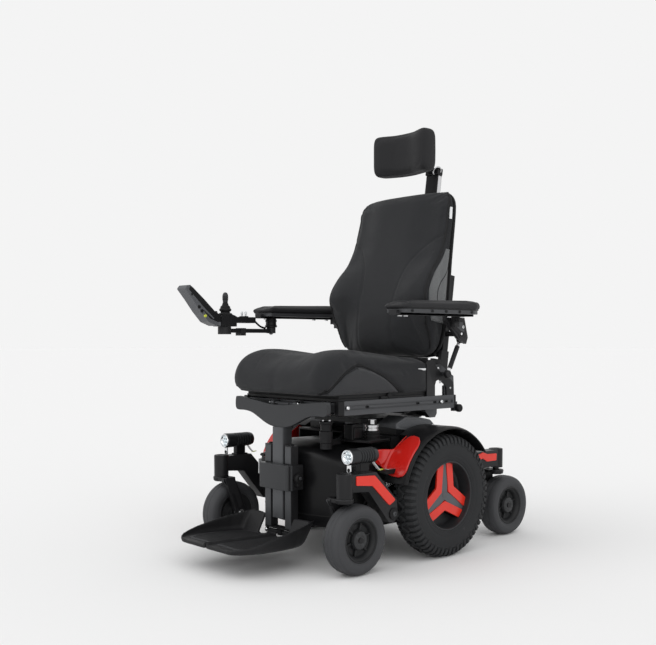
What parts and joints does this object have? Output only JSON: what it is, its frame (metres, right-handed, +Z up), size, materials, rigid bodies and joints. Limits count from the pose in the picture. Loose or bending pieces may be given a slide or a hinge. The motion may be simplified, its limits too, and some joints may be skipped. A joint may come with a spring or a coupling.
{
  "type": "power wheelchair",
  "caption": "Mid-wheel-drive power wheelchair with sprung caster arms, lifting and tilting seat, reclining back, flip-up armrests, joystick and centre legrest.",
  "frame": {"origin": "on the floor under the middle of the chair's outline", "axes": "+Z up, the chair faces -Y, the user's left is +X"},
  "size_m": [0.69, 1.1024, 1.3138],
  "materials": {
    "frame_black": "satin black powder coat",
    "frame_grey": "satin dark grey anodised look",
    "cover_black": "satin moulded plastic",
    "battery_case": "matte moulded plastic",
    "motor_case": "cast, dark",
    "red_plastic": "gloss deep red",
    "red_inlay": "satin orange red",
    "seat_fabric": "dark charcoal stretch knit",
    "headrest_fabric": "soft charcoal upholstery",
    "armrest_skin": "grained soft foam skin",
    "steel": "bright plated steel",
    "panel_grey": "fine textured plastic",
    "knob_rubber": "matte rubber",
    "button_yellow": "yellow-green plastic",
    "footplate_grip": "ribbed grip plastic",
    "drive_tyre": "knobbly rubber",
    "rim_grey": "satin dark grey",
    "caster_rubber": "smooth grey rubber"
  },
  "bodies": {
    "base": {"chassis_frame": "frame_black", "front_cover": "cover_black", "rear_cover": "cover_black", "batteries": "battery_case", "drive_motors": "motor_case", "control_module": "cover_black", "side_panels": "red_plastic", "fenders": "cover_black", "lift_column": "frame_grey"},
    "lift": {"lift_carriage": "frame_black"},
    "seat": {"seat_frame": "frame_grey", "seat_pan": "cover_black", "seat_cushion": "seat_fabric", "rail_bolts": "steel"},
    "backrest": {"backrest_frame": "frame_black", "backrest_shell": "cover_black", "backrest_cushion": "seat_fabric"},
    "headrest_slider": {"headrest_post": "frame_black"},
    "headrest": {"headrest_pad": "headrest_fabric"},
    "armrest_mount_left": {"armrest_bracket_left": "frame_black"},
    "armrest_left": {"armrest_rail_left": "frame_black", "armrest_pad_left": "armrest_skin"},
    "level_link_left": {"link_rod_left": "steel"},
    "armrest_mount_right": {"armrest_bracket_right": "frame_black"},
    "armrest_right": {"armrest_rail_right": "frame_black", "armrest_pad_right": "armrest_skin"},
    "level_link_right": {"link_rod_right": "steel"},
    "joystick_mount": {"joystick_swing_arm": "frame_black", "joystick_housing": "cover_black", "display_panel": "panel_grey", "joystick_cable": "knob_rubber"},
    "joystick_gimbal": {"joystick_boot": "knob_rubber"},
    "joystick_lever": {"joystick_stick": "knob_rubber"},
    "toggle_switches": {"toggle_switches": "steel"},
    "power_button": {"power_button": "button_yellow"},
    "legrest": {"legrest_cover": "frame_grey", "legrest_column": "frame_grey"},
    "legrest_carriage": {"legrest_carriage": "frame_black"},
    "footplate_left": {"footplate_left": "footplate_grip"},
    "footplate_right": {"footplate_right": "footplate_grip"},
    "drive_wheel_left": {"drive_tyre_left": "drive_tyre", "drive_rim_left": "rim_grey", "rim_inlays_left": "red_inlay"},
    "drive_wheel_right": {"drive_tyre_right": "drive_tyre", "drive_rim_right": "rim_grey", "rim_inlays_right": "red_inlay"},
    "front_arm_left": {"front_arm_left": "frame_black", "headlight_left": "cover_black"},
    "front_fork_left": {"front_fork_left": "frame_black"},
    "front_caster_left": {"front_caster_left": "caster_rubber"},
    "front_arm_right": {"front_arm_right": "frame_black", "headlight_right": "cover_black"},
    "front_fork_right": {"front_fork_right": "frame_black"},
    "front_caster_right": {"front_caster_right": "caster_rubber"},
    "rear_arm_left": {"rear_arm_left": "frame_black"},
    "rear_fork_left": {"rear_fork_left": "frame_black"},
    "rear_caster_left": {"rear_caster_left": "caster_rubber"},
    "rear_arm_right": {"rear_arm_right": "frame_black"},
    "rear_fork_right": {"rear_fork_right": "frame_black"},
    "rear_caster_right": {"rear_caster_right": "caster_rubber"}
  },
  "joints": [
    {"name": "seat_lift", "type": "slide", "parent": "base", "child": "lift", "axis": [0, 0, 1], "range_m": [0, 0.25]},
    {"name": "seat_tilt", "type": "hinge", "parent": "lift", "child": "seat", "pos_m": [0, 0.203, 0.4], "axis": [-1, 0, 0], "range_deg": [0, 45]},
    {"name": "backrest_recline", "type": "hinge", "parent": "seat", "child": "backrest", "pos_m": [0, 0.148, 0.545], "axis": [-1, 0, 0], "range_deg": [-4, 50]},
    {"name": "headrest_height", "type": "slide", "parent": "backrest", "child": "headrest_slider", "axis": [0, 0.1461, 0.9893], "range_m": [-0.03, 0.07]},
    {"name": "headrest_tilt", "type": "hinge", "parent": "headrest_slider", "child": "headrest", "pos_m": [0, 0.2872, 1.21384], "axis": [-1, 0, 0], "range_deg": [-20, 20]},
    {"name": "armrest_level_left", "type": "hinge", "parent": "backrest", "child": "armrest_mount_left", "pos_m": [0.246, 0.207, 0.651], "axis": [-1, 0, 0], "range_deg": [-50, 4]},
    {"name": "armrest_flip_left", "type": "hinge", "parent": "armrest_mount_left", "child": "armrest_left", "pos_m": [0.26, 0.168, 0.697], "axis": [-1, 0, 0], "range_deg": [0, 85]},
    {"name": "level_link_left_turn", "type": "hinge", "parent": "seat", "child": "level_link_left", "pos_m": [0.23, 0.168, 0.528], "axis": [-1, 0, 0], "range_deg": [-4, 50]},
    {"name": "armrest_level_right", "type": "hinge", "parent": "backrest", "child": "armrest_mount_right", "pos_m": [-0.246, 0.207, 0.651], "axis": [-1, 0, 0], "range_deg": [-50, 4]},
    {"name": "armrest_flip_right", "type": "hinge", "parent": "armrest_mount_right", "child": "armrest_right", "pos_m": [-0.26, 0.168, 0.697], "axis": [-1, 0, 0], "range_deg": [0, 85]},
    {"name": "level_link_right_turn", "type": "hinge", "parent": "seat", "child": "level_link_right", "pos_m": [-0.23, 0.168, 0.528], "axis": [-1, 0, 0], "range_deg": [-4, 50]},
    {"name": "joystick_swing", "type": "hinge", "parent": "armrest_right", "child": "joystick_mount", "pos_m": [-0.3, -0.095, 0.68], "axis": [0, 0, 1], "range_deg": [0, 90]},
    {"name": "joystick_roll", "type": "hinge", "parent": "joystick_mount", "child": "joystick_gimbal", "pos_m": [-0.3, -0.28, 0.698], "axis": [0, 1, 0], "range_deg": [-15, 15], "stiffness_Nm_per_rad": 0.12},
    {"name": "joystick_pitch", "type": "hinge", "parent": "joystick_gimbal", "child": "joystick_lever", "pos_m": [-0.3, -0.28, 0.698], "axis": [1, 0, 0], "range_deg": [-15, 15], "stiffness_Nm_per_rad": 0.12},
    {"name": "toggles_tip", "type": "hinge", "parent": "joystick_mount", "child": "toggle_switches", "pos_m": [-0.3, -0.207, 0.698], "axis": [1, 0, 0], "range_deg": [-12, 12], "stiffness_Nm_per_rad": 0.08},
    {"name": "power_button_press", "type": "slide", "parent": "joystick_mount", "child": "power_button", "axis": [-1, 0, 0], "range_m": [0, 0.0015], "stiffness_N_per_m": 600},
    {"name": "legrest_elevate", "type": "hinge", "parent": "seat", "child": "legrest", "pos_m": [0, -0.285, 0.448], "axis": [-1, 0, 0], "range_deg": [0, 72]},
    {"name": "legrest_length", "type": "slide", "parent": "legrest", "child": "legrest_carriage", "axis": [0, 0, -1], "range_m": [-0.025, 0.05]},
    {"name": "footplate_flip_left", "type": "hinge", "parent": "legrest_carriage", "child": "footplate_left", "pos_m": [0.035, -0.301, 0.076], "axis": [-1, 0, 0], "range_deg": [0, 50]},
    {"name": "footplate_flip_right", "type": "hinge", "parent": "legrest_carriage", "child": "footplate_right", "pos_m": [-0.035, -0.301, 0.076], "axis": [-1, 0, 0], "range_deg": [0, 50]},
    {"name": "drive_wheel_left_turn", "type": "hinge", "parent": "base", "child": "drive_wheel_left", "pos_m": [0.287, 0.073, 0.178], "axis": [1, 0, 0], "continuous": true},
    {"name": "drive_wheel_right_turn", "type": "hinge", "parent": "base", "child": "drive_wheel_right", "pos_m": [-0.287, 0.073, 0.178], "axis": [1, 0, 0], "continuous": true},
    {"name": "front_suspension_left", "type": "hinge", "parent": "base", "child": "front_arm_left", "pos_m": [0.278, -0.142, 0.15], "axis": [-1, 0, 0], "range_deg": [0, 5], "stiffness_Nm_per_rad": 400, "springref_deg": -11.69},
    {"name": "front_swivel_left", "type": "hinge", "parent": "front_arm_left", "child": "front_fork_left", "pos_m": [0.278, -0.311, 0.23], "axis": [0, 0, 1], "continuous": true},
    {"name": "front_caster_left_turn", "type": "hinge", "parent": "front_fork_left", "child": "front_caster_left", "pos_m": [0.278, -0.273, 0.095], "axis": [1, 0, 0], "continuous": true},
    {"name": "front_suspension_right", "type": "hinge", "parent": "base", "child": "front_arm_right", "pos_m": [-0.278, -0.142, 0.15], "axis": [-1, 0, 0], "range_deg": [0, 5], "stiffness_Nm_per_rad": 400, "springref_deg": -11.69},
    {"name": "front_swivel_right", "type": "hinge", "parent": "front_arm_right", "child": "front_fork_right", "pos_m": [-0.278, -0.311, 0.23], "axis": [0, 0, 1], "continuous": true},
    {"name": "front_caster_right_turn", "type": "hinge", "parent": "front_fork_right", "child": "front_caster_right", "pos_m": [-0.278, -0.273, 0.095], "axis": [1, 0, 0], "continuous": true},
    {"name": "rear_suspension_left", "type": "hinge", "parent": "base", "child": "rear_arm_left", "pos_m": [0.222, 0.185, 0.236], "axis": [1, 0, 0], "range_deg": [0, 5], "stiffness_Nm_per_rad": 400, "springref_deg": -16.02},
    {"name": "rear_swivel_left", "type": "hinge", "parent": "rear_arm_left", "child": "rear_fork_left", "pos_m": [0.222, 0.418, 0.23], "axis": [0, 0, 1], "continuous": true},
    {"name": "rear_caster_left_turn", "type": "hinge", "parent": "rear_fork_left", "child": "rear_caster_left", "pos_m": [0.222, 0.456, 0.095], "axis": [1, 0, 0], "continuous": true},
    {"name": "rear_suspension_right", "type": "hinge", "parent": "base", "child": "rear_arm_right", "pos_m": [-0.222, 0.185, 0.236], "axis": [1, 0, 0], "range_deg": [0, 5], "stiffness_Nm_per_rad": 400, "springref_deg": -16.02},
    {"name": "rear_swivel_right", "type": "hinge", "parent": "rear_arm_right", "child": "rear_fork_right", "pos_m": [-0.222, 0.418, 0.23], "axis": [0, 0, 1], "continuous": true},
    {"name": "rear_caster_right_turn", "type": "hinge", "parent": "rear_fork_right", "child": "rear_caster_right", "pos_m": [-0.222, 0.456, 0.095], "axis": [1, 0, 0], "continuous": true}
  ],
  "couplings": [
    {"joint": "armrest_level_left", "follows": "backrest_recline", "ratio": -1},
    {"joint": "level_link_left_turn", "follows": "backrest_recline", "ratio": 1},
    {"joint": "armrest_level_right", "follows": "backrest_recline", "ratio": -1},
    {"joint": "level_link_right_turn", "follows": "backrest_recline", "ratio": 1}
  ]
}
